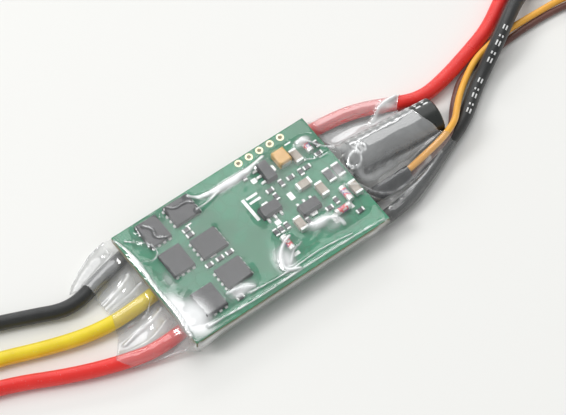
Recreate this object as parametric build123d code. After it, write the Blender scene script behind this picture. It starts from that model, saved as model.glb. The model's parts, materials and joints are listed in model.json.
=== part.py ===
from build123d import *
import math
import os

# Small electronic speed controller for a brushless motor: a two-sided board in a clear
# heat-shrink sleeve, with a storage capacitor and its leads. Millimetres. +X points to the
# battery end, +Z is up through the component side. The origin is on the flat underside of
# the sleeve, below the middle of the board.

# ---------------------------------------------------------------- driving dimensions
BOARD_L, BOARD_W, BOARD_T = 46.0, 28.5, 1.6
FILM_T = 0.2                      # heat-shrink wall after shrinking
GAP = 0.05                        # clearance between a piece and the film below it
WIRE_D = 3.0                      # 16 AWG silicone wire over its insulation
CORE_D = 1.5                      # its tinned conductor
CORE_TIP = 5.0                    # bare tinned length at each free end
JOINT_L, JOINT_W, JOINT_H = 2.6, 3.4, 2.0     # solder that holds a core under the board
SIGNAL_D = 1.4                    # signal wire over its insulation
PITCH = 2.54                      # programming holes and signal plug
CAP_D, CAP_L = 8.0, 20.0          # storage capacitor
CAP_MIDDLE, CAP_TURN = (34.9, 0.1), -4.9
PLUG_L, PLUG_W, PLUG_H = 14.0, 7.7, 2.56
COIL_CENTRE = (101.5, -3.5)       # middle of the wound-up signal lead
COIL_INNER_R = 7.3                # centreline of its inner wire
COIL_TURNS = 2.0
TIE_T = 0.35                      # strap that holds the coil

WIRE_Z = FILM_T + GAP + WIRE_D / 2            # height of a power wire's centre in the film
BOARD_BOTTOM = FILM_T + 2 * GAP + WIRE_D
BOARD_TOP = BOARD_BOTTOM + BOARD_T
TABLE_Z = WIRE_D / 2                          # height of a power wire's centre on the table
EDGE = BOARD_L / 2

os.makedirs("parts", exist_ok=True)


def save(node, *solids):
    """Writes one node, from one or more separate solids."""
    shapes = []
    for solid in solids:
        shapes += solid.solids()
    export_step(Compound(children=shapes) if len(shapes) > 1 else shapes[0], f"parts/{node}.step")


def block(x0, x1, y0, y1, z0, z1):
    """A box between two corners."""
    return Pos((x0 + x1) / 2, (y0 + y1) / 2, (z0 + z1) / 2) * Box(x1 - x0, y1 - y0, z1 - z0)


def on_board(shapes, x, y, turn=0.0):
    """Shapes drawn about the origin, standing on the board's component side."""
    return [Pos(x, y, BOARD_TOP) * Rot(0, 0, turn) * s for s in shapes]


def under_board(shapes, x, y, turn=0.0):
    """Shapes drawn about the origin, hanging from the board's underside."""
    return [Pos(x, y, BOARD_BOTTOM) * Rot(180, 0, turn) * s for s in shapes]


# ---------------------------------------------------------------- circuit board
HOLE_X0, HOLE_Y = 6.65, 13.2      # first programming hole; the row runs along X
HOLE_R, RING_R, RING_T = 0.45, 0.8, 0.04
hole_places = [(HOLE_X0 + PITCH * i, HOLE_Y) for i in range(5)]


def make_board():
    board = block(-EDGE, EDGE, -BOARD_W / 2, BOARD_W / 2, BOARD_BOTTOM, BOARD_TOP)
    rings = []
    for x, y in hole_places:
        board -= Pos(x, y, BOARD_TOP - BOARD_T / 2) * Cylinder(HOLE_R + RING_T, BOARD_T + 1)
        barrel = Pos(x, y, BOARD_TOP - BOARD_T / 2) * Cylinder(HOLE_R + RING_T, BOARD_T)
        pad = Pos(x, y, BOARD_TOP + RING_T / 2) * Cylinder(RING_R, RING_T)
        pad += Pos(x, y, BOARD_BOTTOM - RING_T / 2) * Cylinder(RING_R, RING_T)
        rings.append(barrel + pad - Pos(x, y, BOARD_TOP) * Cylinder(HOLE_R, 4 * BOARD_T))
    save("circuit_board", board)
    save("programming_pads", *rings)


# Bare tinned copper on the component side: x from, x to, y from, y to.
BARE_PADS = [
    (2.0, 2.7, 0.4, 6.0), (3.0, 5.6, 5.35, 5.9), (3.0, 5.6, 4.15, 4.7), (4.4, 5.6, -2.7, -1.6),
    (6.2, 7.3, 7.6, 8.7), (10.0, 11.1, 0.2, 2.0), (13.9, 15.0, -9.2, -7.0), (18.4, 19.2, -8.2, -6.4),
    (2.9, 4.5, -10.2, -9.4), (-10.0, -8.6, 7.6, 7.9), (-10.1, -8.7, -0.9, -0.6), (16.4, 17.8, 11.0, 11.3),
]
PAD_T = 0.05


def make_bare_pads():
    save("bare_pads", *[block(*p, BOARD_TOP, BOARD_TOP + PAD_T) for p in BARE_PADS])


# ---------------------------------------------------------------- power transistors
FET_L, FET_W, FET_H = 5.75, 4.9, 1.0
FET_LEAD_PITCH, FET_LEAD_W, FET_LEAD_OUT, FET_LEAD_T = 1.27, 0.62, 0.4, 0.3
FET_PLACES = [
    (-15.9, 10.3, 0), (-15.9, 2.4, 0), (-15.9, -8.25, 0),
    (-8.65, 10.9, -90), (-8.65, 1.85, -90), (-8.65, -6.2, -90),
]


def fet_body():
    body = Pos(0, 0, FET_H / 2) * Box(FET_W, FET_L, FET_H)
    body = chamfer(body.faces().sort_by(Axis.Z)[-1].edges(), 0.12)
    return body - Pos(-FET_W / 2 + 0.75, -FET_L / 2 + 0.75, FET_H) * Cylinder(0.32, 0.12)


def fet_leads():
    leads = []
    for side in (-1, 1):
        for i in range(4):
            x = (i - 1.5) * FET_LEAD_PITCH
            y = side * (FET_L + FET_LEAD_OUT) / 2
            lead = Pos(x, y, FET_LEAD_T / 2) * Box(FET_LEAD_W, FET_LEAD_OUT, FET_LEAD_T)
            outer = lead.faces().sort_by(Axis.Y)[-1 if side > 0 else 0]
            leads.append(chamfer(outer.edges().sort_by(Axis.Z)[-1], 0.2))
    return leads


def make_fets():
    leads = []
    for i, place in enumerate(FET_PLACES):
        save(f"mosfet_{i + 1}", *on_board([fet_body()], *place))
        leads += on_board(fet_leads(), *place)
    save("mosfet_leads", *leads)


# ---------------------------------------------------------------- SOT-89 chips
SOT_L, SOT_W, SOT_H = 4.5, 2.5, 1.5
SOT_PLACES = [(9.75, 8.15, -90), (5.25, 0.85, 0), (11.8, -3.25, 180)]


def sot_body():
    base = Rectangle(SOT_L, SOT_W)
    return extrude(base, SOT_H, taper=6)


def sot_leads():
    leads = []
    for i in (-1, 0, 1):
        long = 1.0 if i else 1.15
        y = -SOT_W / 2 - long / 2
        lead = Pos(i * 1.5, y, 0.2) * Box(0.5, long, 0.4)
        leads.append(chamfer(lead.edges().filter_by(Axis.X).group_by(Axis.Y)[0].sort_by(Axis.Z)[-1], 0.25))
    tab = make_face(Polyline((-0.85, SOT_W / 2), (0.85, SOT_W / 2), (0.6, SOT_W / 2 + 0.75),
                             (-0.6, SOT_W / 2 + 0.75), close=True))
    leads.append(extrude(tab, 0.4))
    return leads


def make_regulators():
    for i, place in enumerate(SOT_PLACES):
        save(f"regulator_{i + 1}", *on_board([sot_body()], *place))
        save(f"regulator_{i + 1}_leads", *on_board(sot_leads(), *place))


# ---------------------------------------------------------------- tantalum capacitor
TAN_L, TAN_W, TAN_H, TAN_TAB = 3.5, 2.8, 1.9, 0.15
TAN_PLACE = (13.9, 8.8, 90)


def make_tantalum():
    body = Pos(0, 0, TAN_H / 2) * Box(TAN_L - 2 * TAN_TAB, TAN_W, TAN_H)
    body = chamfer(body.faces().sort_by(Axis.Z)[-1].edges(), 0.18)
    tabs = []
    for side in (-1, 1):
        x = side * (TAN_L - TAN_TAB) / 2
        tabs.append(Pos(x, 0, 0.55) * Box(TAN_TAB, 2.2, 1.1))
    save("tantalum_capacitor", *on_board([body], *TAN_PLACE))
    save("tantalum_terminals", *on_board(tabs, *TAN_PLACE))


# ---------------------------------------------------------------- chip capacitors and resistors
def chip(long, wide, high, band):
    """A chip part along X: its body, then its two end caps."""
    body = Pos(0, 0, high / 2) * Box(long - 2 * band, wide, high)
    cap = Box(band, wide + 0.06, high + 0.06)
    caps = [Pos(s * (long - band) / 2, 0, high / 2 + 0.03) * fillet(cap.edges(), 0.06) for s in (-1, 1)]
    return body, caps


CERAMIC_SIZE = (3.2, 1.6, 1.2, 0.5)
CERAMIC_PLACES = [(16.5, 7.5, 90), (13.9, 1.45, 0), (16.1, -1.5, 90), (8.1, -5.3, 90), (21.6, -5.1, 90)]
BIG_RESISTOR_SIZE = (3.2, 1.6, 0.55, 0.5)
BIG_RESISTOR_PLACES = [(19.3, 0.35, 90), (21.5, 0.35, 90)]
SMALL_SIZE = (1.7, 0.85, 0.45, 0.35)
SMALL_PLACES = [
    (-10.4, 6.9, 0), (-10.4, 5.6, 0), (-11.3, -2.0, 0), (-8.8, -2.0, 0), (-6.5, -2.0, 0),
    (-10.6, -9.9, 0), (-10.6, -11.2, 0), (7.9, 4.45, 0), (10.7, 4.45, 90), (12.9, 4.45, 0),
    (15.3, 4.2, 90), (16.9, 4.45, 0), (5.5, 9.9, 90), (8.1, 2.6, 90), (3.3, -3.9, 90), (4.5, -3.9, 90), (5.9, -3.9, 90), (9.9, -5.6, 90),
    (14.9, -5.6, 0), (17.0, -5.0, 90), (21.6, 7.6, 90), (20.6, 5.6, 0), (19.4, -9.6, 0),
]


def make_chips():
    for node, size, places in (
        ("ceramic_capacitors", CERAMIC_SIZE, CERAMIC_PLACES),
        ("shunt_resistors", BIG_RESISTOR_SIZE, BIG_RESISTOR_PLACES),
        ("small_resistors", SMALL_SIZE, SMALL_PLACES),
    ):
        body, caps = chip(*size)
        bodies, ends = [], []
        for place in places:
            bodies += on_board([body], *place)
            ends += on_board(caps, *place)
        save(node, *bodies)
        save(node + "_ends", *ends)


# ---------------------------------------------------------------- glass diodes
DIODE_L, DIODE_R, DIODE_CAP = 3.5, 0.72, 0.75
DIODE_PLACES = [(19.3, -5.2, 90), (16.6, -7.6, 0), (3.6, -7.3, 90), (19.6, 8.3, 90)]


def make_diodes():
    lying = Rot(0, 90, 0)
    glass = Pos(0, 0, DIODE_R + 0.04) * lying * Cylinder(DIODE_R, DIODE_L - 2 * DIODE_CAP)
    cap = fillet(Cylinder(DIODE_R + 0.04, DIODE_CAP).edges(), 0.05)
    caps = [Pos(s * (DIODE_L - DIODE_CAP) / 2, 0, DIODE_R + 0.04) * lying * cap for s in (-1, 1)]
    glasses, ends = [], []
    for place in DIODE_PLACES:
        glasses += on_board([glass], *place)
        ends += on_board(caps, *place)
    save("glass_diodes", *glasses)
    save("glass_diodes_ends", *ends)


# ---------------------------------------------------------------- underside
MCU_W, MCU_H, MCU_PITCH = 7.0, 1.0, 0.8
MCU_PLACE = (4.0, 1.0, 0)
UNDER_PLACES = [(-3.0, 6.0, 90), (-1.2, 6.0, 90), (-3.0, -5.5, 90), (11.5, 5.0, 0), (11.5, 2.8, 0), (11.5, -3.5, 0)]


def make_underside():
    body = Pos(0, 0, MCU_H / 2 + 0.1) * Box(MCU_W, MCU_W, MCU_H)
    body = chamfer(body.faces().sort_by(Axis.Z)[-1].edges(), 0.1)
    leads = []
    for side in range(4):
        for i in range(8):
            lead = Pos((i - 3.5) * MCU_PITCH, -MCU_W / 2 - 0.5, 0.3) * Box(0.36, 1.0, 0.16)
            foot = Pos((i - 3.5) * MCU_PITCH, -MCU_W / 2 - 0.75, 0.11) * Box(0.36, 0.5, 0.22)
            leads.append(Rot(0, 0, 90 * side) * (lead + foot))
    save("microcontroller", *under_board([body], *MCU_PLACE))
    save("microcontroller_leads", *under_board(leads, *MCU_PLACE))
    can = Pos(0, 0, 0.6) * Box(3.2, 1.3, 1.2)
    save("resonator", *under_board([fillet(can.edges().filter_by(Axis.Z), 0.3)], -3.5, 0.5, 90))
    body, caps = chip(*SMALL_SIZE)
    bodies, ends = [], []
    for place in UNDER_PLACES:
        bodies += under_board([body], *place)
        ends += under_board(caps, *place)
    save("underside_resistors", *bodies)
    save("underside_resistors_ends", *ends)


# ---------------------------------------------------------------- storage capacitor
CAP_Z = FILM_T + GAP + CAP_D / 2
CAP_SKIN, CAP_LIP = 0.15, 0.6     # plastic jacket and how far it folds over each end
LEAD_D, LEAD_PITCH = 0.6, 3.5


def cap_placed(shape):
    """A shape drawn along +X about the origin, moved to the capacitor's place."""
    return Pos(*CAP_MIDDLE, CAP_Z) * Rot(0, 0, CAP_TURN) * shape


def turned(*profile):
    """Half a profile in X and radius, turned about the X axis."""
    return revolve(make_face(Polyline(*profile, close=True)), Axis.X)


def make_storage_capacitor():
    end, outer, can = CAP_L / 2, CAP_D / 2, CAP_D / 2 - CAP_SKIN
    jacket = turned((-end, can - CAP_LIP), (-end, outer - 0.3), (-end + 0.3, outer), (end - 0.3, outer),
                    (end, outer - 0.3), (end, can - CAP_LIP), (end - CAP_SKIN, can - CAP_LIP),
                    (end - CAP_SKIN, can), (-end + CAP_SKIN, can), (-end + CAP_SKIN, can - CAP_LIP))
    face, bung = end - CAP_SKIN, 1.9
    shell = turned((-face + bung, 0), (-face + bung, can - 0.25), (-face, can - 0.25), (-face, can),
                   (-face + 1.4, can), (-face + 1.7, can - 0.2), (-face + 2.0, can), (face, can), (face, 0))
    for turn in (0, 90):
        vent = Pos(face, 0, 0) * Rot(turn, 0, 0) * Box(0.2, 4.5, 0.25)
        shell -= vent
    stopper = Pos(-face + bung / 2, 0, 0) * Rot(0, 90, 0) * Cylinder(can - 0.25, bung)
    leads = []
    for side in (-1, 1):
        y = side * LEAD_PITCH / 2
        drop = CAP_Z - (BOARD_BOTTOM - LEAD_D / 2 - GAP)
        inside = -end - 4.6
        path = FilletPolyline((-face + 1.0, y, 0), (-end - 0.55, y, 0), (-end - 1.0, y, -drop),
                              (inside, y, -drop), radius=0.35)
        hole = Pos(-face, y, 0) * Rot(0, 90, 0) * Cylinder(LEAD_D / 2, 2.0)
        stopper -= hole
        leads.append(sweep(Plane(origin=path @ 0, z_dir=path % 0) * Circle(LEAD_D / 2), path=path))
    save("capacitor_jacket", cap_placed(jacket))
    save("capacitor_can", cap_placed(shell))
    save("capacitor_stopper", cap_placed(stopper))
    save("capacitor_leads", *[cap_placed(lead) for lead in leads])


# ---------------------------------------------------------------- wires
# Each route is the wire's centreline, from the board outwards.
MOTOR_BLACK = [
    (-20.5, 11.4, WIRE_Z), (-28.6, 10.0, WIRE_Z), (-36.9, 7.3, WIRE_Z), (-45.0, 11.2, TABLE_Z),
    (-56.0, 15.8, TABLE_Z), (-68.5, 18.3, TABLE_Z), (-82.0, 18.6, TABLE_Z), (-95.0, 18.0, TABLE_Z),
]
MOTOR_YELLOW = [
    (-20.5, 1.0, WIRE_Z), (-28.0, 0.1, WIRE_Z), (-36.5, 0.6, WIRE_Z), (-45.0, 3.2, TABLE_Z),
    (-55.5, 7.4, TABLE_Z), (-68.5, 10.8, TABLE_Z), (-82.0, 11.8, TABLE_Z), (-95.0, 11.4, TABLE_Z),
]
MOTOR_RED = [
    (-20.5, -8.7, WIRE_Z), (-28.0, -9.8, WIRE_Z), (-36.5, -7.6, WIRE_Z), (-45.5, -4.0, TABLE_Z),
    (-56.0, 1.4, TABLE_Z), (-68.5, 5.2, TABLE_Z), (-81.5, 5.8, TABLE_Z), (-94.0, 5.0, TABLE_Z),
]
BATTERY_RED = [
    (20.5, 12.3, WIRE_Z), (27.5, 12.1, WIRE_Z), (34.5, 10.6, WIRE_Z), (40.5, 7.7, WIRE_Z),
    (46.3, 5.2, WIRE_Z), (53.0, 6.3, TABLE_Z), (60.0, 8.2, TABLE_Z), (67.5, 10.5, TABLE_Z),
    (74.6, 14.8, TABLE_Z), (83.0, 19.2, TABLE_Z), (94.0, 19.6, TABLE_Z), (106.0, 17.6, TABLE_Z),
    (117.5, 17.4, TABLE_Z),
]
BATTERY_BLACK = [
    (20.5, -12.3, WIRE_Z), (27.5, -12.5, WIRE_Z), (35.5, -9.8, WIRE_Z), (43.5, -6.4, WIRE_Z),
    (50.3, -3.7, TABLE_Z), (56.0, 0.4, TABLE_Z), (60.6, 3.0, 2.0), (65.0, 5.1, 3.7),
    (70.2, 8.2, 3.9), (75.6, 11.5, 3.4), (82.6, 14.6, 1.8), (92.0, 14.2, TABLE_Z),
    (103.0, 11.6, TABLE_Z), (114.0, 11.4, TABLE_Z),
]
POWER_WIRES = {
    "motor_wire_black": MOTOR_BLACK, "motor_wire_yellow": MOTOR_YELLOW, "motor_wire_red": MOTOR_RED,
    "battery_wire_red": BATTERY_RED, "battery_wire_black": BATTERY_BLACK,
}

# The signal wires leave a short dark sleeve beside the capacitor.
SLEEVE_FROM, SLEEVE_TO = Vector(24.0, -7.1, 2.0), Vector(33.2, -7.65, 3.0)
PAIR_TILT = Vector(0, 0.64, 0.77)             # from the middle of the pair to the orange wire
COIL_Z = TIE_T + GAP + SIGNAL_D / 2           # centre of the coil's lowest turn
COIL_OUTER_R = COIL_INNER_R + SIGNAL_D
COIL_TOP = COIL_Z + (COIL_TURNS + 0.5) * SIGNAL_D
COIL_X, COIL_Y = COIL_CENTRE
TAIL_Z = COIL_Z + COIL_TURNS * SIGNAL_D
PLUG_X, PLUG_Y = COIL_X + 15.0, COIL_Y + 6.7  # where the wires enter the plug
PLUG_Z = PLUG_H / 2

SIGNAL_ORANGE = [
    (33.4, -7.2, 3.58), (37.4, -7.1, 5.1), (42.6, -6.2, 5.4), (46.8, -4.6, 5.3), (49.9, -1.5, 3.5),
    (53.2, 1.5, 1.85), (56.4, 3.7, 1.8), (59.9, 5.6, 2.25), (64.3, 7.1, 1.6), (70.0, 7.9, 1.55),
    (77.0, 7.7, 1.55), (84.5, 7.4, 1.5), (91.0, 6.2, 1.3), (96.5, 5.5, COIL_Z),
    (COIL_X, COIL_Y + COIL_OUTER_R, COIL_Z),
]
SIGNAL_BROWN = [
    (33.4, -8.1, 2.5), (37.6, -7.6, 3.8), (41.9, -6.7, 3.95), (45.2, -5.4, 3.95), (47.5, -3.0, 3.35),
    (49.6, -0.6, 1.6), (52.4, 2.0, 0.75), (55.3, 4.3, 0.7), (58.8, 5.5, 0.7), (63.0, 5.7, 0.7), (67.8, 6.2, 0.7),
    (74.5, 6.6, 0.7), (82.0, 6.4, 0.7), (89.0, 5.0, 0.8), (95.0, 4.2, COIL_Z),
    (COIL_X, COIL_Y + COIL_INNER_R, COIL_Z),
]
ORANGE_TAIL = [
    (COIL_X, COIL_Y + COIL_OUTER_R, TAIL_Z), (COIL_X + 5.3, COIL_Y + COIL_OUTER_R + 0.2, TAIL_Z + 0.2),
    (PLUG_X - 4.9, PLUG_Y + PITCH - 0.1, 2.8), (PLUG_X - 1.5, PLUG_Y + PITCH, PLUG_Z),
    (PLUG_X + 1.5, PLUG_Y + PITCH, PLUG_Z),
]
BROWN_TAIL = [
    (COIL_X, COIL_Y + COIL_INNER_R, TAIL_Z), (COIL_X + 5.3, COIL_Y + COIL_INNER_R - 0.2, TAIL_Z + 0.4),
    (PLUG_X - 4.9, PLUG_Y - PITCH + 0.6, 3.0), (PLUG_X - 1.5, PLUG_Y - PITCH, PLUG_Z),
    (PLUG_X + 1.5, PLUG_Y - PITCH, PLUG_Z),
]


def tube(name, points, diameter):
    """A round wire whose corners are arcs as large as their two runs allow."""
    route = [Vector(*p) for p in points]
    radii = []
    for before, at, after in zip(route, route[1:], route[2:]):
        turn = math.radians((at - before).get_angle(after - at))
        shorter = min((at - before).length, (after - at).length)
        radii.append(0.45 * shorter / math.tan(turn / 2))
    path = FilletPolyline(*route, radius=radii)
    solid = sweep(Plane(origin=path @ 0, z_dir=path % 0) * Circle(diameter / 2), path=path)
    share = solid.volume / (path.length * math.pi * diameter ** 2 / 4)
    rounded = [round(r, 1) for r in radii]
    print(f"{name}: length {path.length:.1f} volume share {share:.4f} radii {rounded}")
    return solid


def rod(start, end, diameter):
    """A straight round rod between two points."""
    line = Line(start, end)
    return sweep(Plane(origin=line @ 0, z_dir=line % 0) * Circle(diameter / 2), path=line)


def beyond(points, first, length):
    """The point that carries a route's end straight on by a length."""
    end, inner = (Vector(*points[0]), Vector(*points[1])) if first else (Vector(*points[-1]), Vector(*points[-2]))
    return end, end + (end - inner).normalized() * length


def make_power_wires():
    cores, joints = [], []
    for name, points in POWER_WIRES.items():
        save(name, tube(name, points, WIRE_D))
        save(name + "_tip", rod(*beyond(points, False, CORE_TIP), CORE_D))
        start, inner = beyond(points, True, JOINT_L)
        core = rod(start, inner, CORE_D)
        middle = (start + inner) / 2
        joint = Pos(middle.X, middle.Y, BOARD_BOTTOM - JOINT_H / 2) * Box(JOINT_L - 0.5, JOINT_W, JOINT_H)
        joint = chamfer(joint.faces().sort_by(Axis.Z)[0].edges(), 0.7)
        joints.append(joint - core)
        cores.append(core)
    save("wire_cores", *cores)
    save("solder_joints", *joints)


def make_signal_lead():
    ring = Cylinder(COIL_OUTER_R + SIGNAL_D / 2, COIL_TOP - TIE_T - GAP)
    ring -= Cylinder(COIL_INNER_R - SIGNAL_D / 2, 2 * COIL_TOP)
    ring = Pos(COIL_X, COIL_Y, (COIL_TOP + TIE_T + GAP) / 2) * ring
    save("signal_lead_coil", ring)
    for name, points, tail in (
        ("signal_wire_orange", SIGNAL_ORANGE, ORANGE_TAIL),
        ("signal_wire_brown", SIGNAL_BROWN, BROWN_TAIL),
    ):
        lead = tube(name, points, SIGNAL_D) - ring
        end = tube(name + " tail", tail, SIGNAL_D) - ring
        save(name, max(lead.solids(), key=lambda s: s.volume), max(end.solids(), key=lambda s: s.volume))
    # strap round the coil's section, on the side away from the board
    mid, half = COIL_INNER_R + SIGNAL_D / 2, SIGNAL_D + 0.12
    inside = Pos(mid, 0, (COIL_TOP + TIE_T) / 2) * Box(2 * half, 4.0, COIL_TOP - TIE_T + GAP)
    strap = Pos(mid, 0, (COIL_TOP + 2 * TIE_T) / 2) * Box(2 * half + 2 * TIE_T, 2.0, COIL_TOP + 2 * TIE_T)
    strap = fillet(strap.edges().filter_by(Axis.Y), 0.3) - inside
    save("coil_strap", Pos(COIL_X, COIL_Y, 0) * Rot(0, 0, 215) * strap)

    # dark sleeve over the pair beside the capacitor
    along = SLEEVE_TO - SLEEVE_FROM
    plane = Plane(origin=SLEEVE_FROM, x_dir=PAIR_TILT - along * (PAIR_TILT.dot(along) / along.dot(along)),
                  z_dir=along)
    section = SlotOverall(2 * SIGNAL_D + 0.5, SIGNAL_D + 0.5)
    save("signal_sleeve", extrude(plane * section, along.length))
    ends = []
    for side in (-1, 1):
        start = SLEEVE_FROM + PAIR_TILT * (side * SIGNAL_D / 2) - along * 0.02
        ends.append(rod(start, Vector(start.X - 3.6, start.Y, BOARD_BOTTOM - 0.5), 0.8))
    save("signal_wire_cores", *ends)


def make_plug():
    """Three-way signal plug, drawn with its mating face towards -Y; its middle way is empty."""
    body = fillet(Box(PLUG_W, PLUG_L, PLUG_H).edges().filter_by(Axis.Y), 0.25)
    channel, mouth, wall, window = 1.8, 0.9, 1.6, 2.4
    contacts = []
    for i in (-1, 0, 1):
        x = i * PITCH
        body -= Pos(x, wall, 0) * Box(channel, PLUG_L, channel)
        body -= Pos(x, -PLUG_L / 2, 0) * Box(mouth, 4 * wall, mouth)
        body -= Pos(x, -PLUG_L / 2 + 4.4, PLUG_H / 2) * Box(1.1, window, PLUG_H)
        if i:
            contact = Pos(x, -0.4, 0) * Box(channel - 0.2, 9.6, channel - 0.2)
            contacts.append(contact - Pos(x, -3.2, 0) * Box(0.7, 8.0, 0.7))
    place = Pos(PLUG_X + PLUG_L / 2, PLUG_Y, PLUG_Z) * Rot(0, 0, 90)      # the mating face towards +X
    save("plug_housing", place * body)
    save("plug_contacts", *[place * c for c in contacts])


# ---------------------------------------------------------------- clear heat-shrink sleeve
# Stations along X: x, low y, high y, wall height, crown from y, crown to y, crown height.
FILM_STATIONS = [
    (-36.4, -9.8, 10.9, 2.9, -8.0, 9.0, 3.6),
    (-30.0, -11.8, 14.6, 3.0, -9.5, 11.5, 3.7),
    (-24.6, -14.0, 15.8, 4.0, -12.5, 12.5, 5.4),
    (-22.0, -14.75, 15.0, 5.2, -13.2, 13.2, 6.2),
    (-4.0, -14.75, 14.75, 5.2, -12.8, 13.2, 6.6),
    (8.0, -14.75, 14.75, 5.3, -10.5, 11.5, 7.3),
    (20.0, -14.75, 14.75, 5.3, -8.5, 11.0, 7.4),
    (25.0, -14.5, 14.4, 4.6, -5.0, 6.5, 8.8),
    (34.0, -12.6, 12.6, 4.2, -7.6, 4.6, 8.8),
    (43.6, -8.5, 8.2, 4.4, -6.4, 3.6, 8.7),
]


def film_section(station, inset, shift=0.0):
    x, low, high, wall, crown_low, crown_high, crown = station
    points = [(low + inset, inset), (high - inset, inset), (high - inset, wall - inset / 2),
              (crown_high - inset / 2, crown - inset), (crown_low + inset / 2, crown - inset),
              (low + inset, wall - inset / 2)]
    # the plane's X runs along +Y of the part and its Y along +Z
    return Plane(origin=(x + shift, 0, 0), x_dir=(0, 1, 0), z_dir=(1, 0, 0)) * make_face(
        Polyline(*points, close=True))


def make_film():
    outer = loft([film_section(s, 0) for s in FILM_STATIONS], ruled=True)
    ends = len(FILM_STATIONS) - 1
    hollow = [film_section(s, FILM_T, {0: -0.5, ends: 0.5}.get(i, 0.0)) for i, s in enumerate(FILM_STATIONS)]
    save("heat_shrink_sleeve", outer - loft(hollow, ruled=True))


make_board()
make_bare_pads()
make_fets()
make_regulators()
make_tantalum()
make_chips()
make_diodes()
make_underside()
make_storage_capacitor()
make_power_wires()
make_signal_lead()
make_plug()
make_film()
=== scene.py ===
import json
import math

import bmesh
import bpy
import numpy as np
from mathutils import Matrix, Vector, noise
from mathutils.bvhtree import BVHTree


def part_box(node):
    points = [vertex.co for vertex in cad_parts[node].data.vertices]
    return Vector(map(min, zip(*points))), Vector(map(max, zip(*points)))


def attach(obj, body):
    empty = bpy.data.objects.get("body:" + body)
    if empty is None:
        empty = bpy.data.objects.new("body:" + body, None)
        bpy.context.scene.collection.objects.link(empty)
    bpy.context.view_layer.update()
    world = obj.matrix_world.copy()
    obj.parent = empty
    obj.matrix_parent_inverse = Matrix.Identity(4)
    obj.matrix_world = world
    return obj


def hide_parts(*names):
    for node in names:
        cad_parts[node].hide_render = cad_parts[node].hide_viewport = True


# Electronic speed controller in clear heat-shrink film, on a plain pale table.
# Sizes are metres; MM turns millimetres into them.
MM = 0.001
ABOVE_TABLE = 0.00002        # nothing of the film reaches lower than this

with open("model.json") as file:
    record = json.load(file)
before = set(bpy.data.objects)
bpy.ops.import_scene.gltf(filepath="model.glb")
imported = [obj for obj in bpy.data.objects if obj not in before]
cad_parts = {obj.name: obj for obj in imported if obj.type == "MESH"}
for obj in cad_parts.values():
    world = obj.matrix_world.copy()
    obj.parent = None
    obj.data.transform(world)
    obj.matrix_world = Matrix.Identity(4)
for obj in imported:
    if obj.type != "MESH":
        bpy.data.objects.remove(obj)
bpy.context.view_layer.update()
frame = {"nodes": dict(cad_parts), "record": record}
nodes = frame["nodes"]

board_low, board_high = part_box("circuit_board")
BOARD_TOP = board_high.z
BOARD_MIDDLE = Vector(((board_low.x + board_high.x) / 2, (board_low.y + board_high.y) / 2, BOARD_TOP))

# ------------------------------------------------------------------ camera
AZIMUTH, ELEVATION = math.radians(-36.5), math.radians(60.0)
DISTANCE, LENS = 0.503, 165.0
RIGHT_OF_BOARD, ABOVE_BOARD = 0.00626, 0.00398    # what the camera aims at, from the board's middle


def make_camera():
    back = Vector((math.sin(AZIMUTH) * math.cos(ELEVATION), -math.cos(AZIMUTH) * math.cos(ELEVATION),
                   math.sin(ELEVATION)))
    right = Vector((math.cos(AZIMUTH), math.sin(AZIMUTH), 0))
    up = back.cross(right)
    camera = bpy.data.objects.new("camera", bpy.data.cameras.new("camera"))
    camera.data.lens = LENS
    camera.data.clip_start, camera.data.clip_end = 0.01, 20
    camera.location = BOARD_MIDDLE + right * RIGHT_OF_BOARD + up * ABOVE_BOARD + back * DISTANCE
    camera.rotation_euler = back.to_track_quat("Z", "Y").to_euler()
    bpy.context.scene.collection.objects.link(camera)
    bpy.context.scene.camera = camera


make_camera()

# ------------------------------------------------------------------ routes of the wires, mm
WIRE_D, SIGNAL_D, PITCH = 3.0, 1.4, 2.54
FILM_T, GAP, TIE_T = 0.2, 0.05, 0.35
WIRE_Z, TABLE_Z = FILM_T + GAP + WIRE_D / 2, WIRE_D / 2
COIL_X, COIL_Y = 101.5, -3.5
COIL_INNER_R, COIL_TURNS = 7.3, 2
COIL_OUTER_R = COIL_INNER_R + SIGNAL_D
COIL_Z = TIE_T + GAP + SIGNAL_D / 2
TAIL_Z = COIL_Z + COIL_TURNS * SIGNAL_D
PLUG_X, PLUG_Y = COIL_X + 15.0, COIL_Y + 6.7
PLUG_Z = 1.28
TURN_POINTS = 16            # control points in each turn of the coil
# each point's radius widens the curve's box, so it is small, and bevel_depth makes up for it
POINT_RADIUS = 0.0007

MOTOR_BLACK = [
    (-20.5, 11.4, WIRE_Z), (-28.6, 10.0, WIRE_Z), (-36.9, 7.3, WIRE_Z), (-45.0, 11.2, TABLE_Z),
    (-56.0, 15.8, TABLE_Z), (-68.5, 18.3, TABLE_Z), (-82.0, 18.6, TABLE_Z), (-95.0, 18.0, TABLE_Z),
]
MOTOR_YELLOW = [
    (-20.5, 1.0, WIRE_Z), (-28.0, 0.1, WIRE_Z), (-36.5, 0.6, WIRE_Z), (-45.0, 3.2, TABLE_Z),
    (-55.5, 7.4, TABLE_Z), (-68.5, 10.8, TABLE_Z), (-82.0, 11.8, TABLE_Z), (-95.0, 11.4, TABLE_Z),
]
MOTOR_RED = [
    (-20.5, -8.7, WIRE_Z), (-28.0, -9.8, WIRE_Z), (-36.5, -7.6, WIRE_Z), (-45.5, -4.0, TABLE_Z),
    (-56.0, 1.4, TABLE_Z), (-68.5, 5.2, TABLE_Z), (-81.5, 5.8, TABLE_Z), (-94.0, 5.0, TABLE_Z),
]
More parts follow.
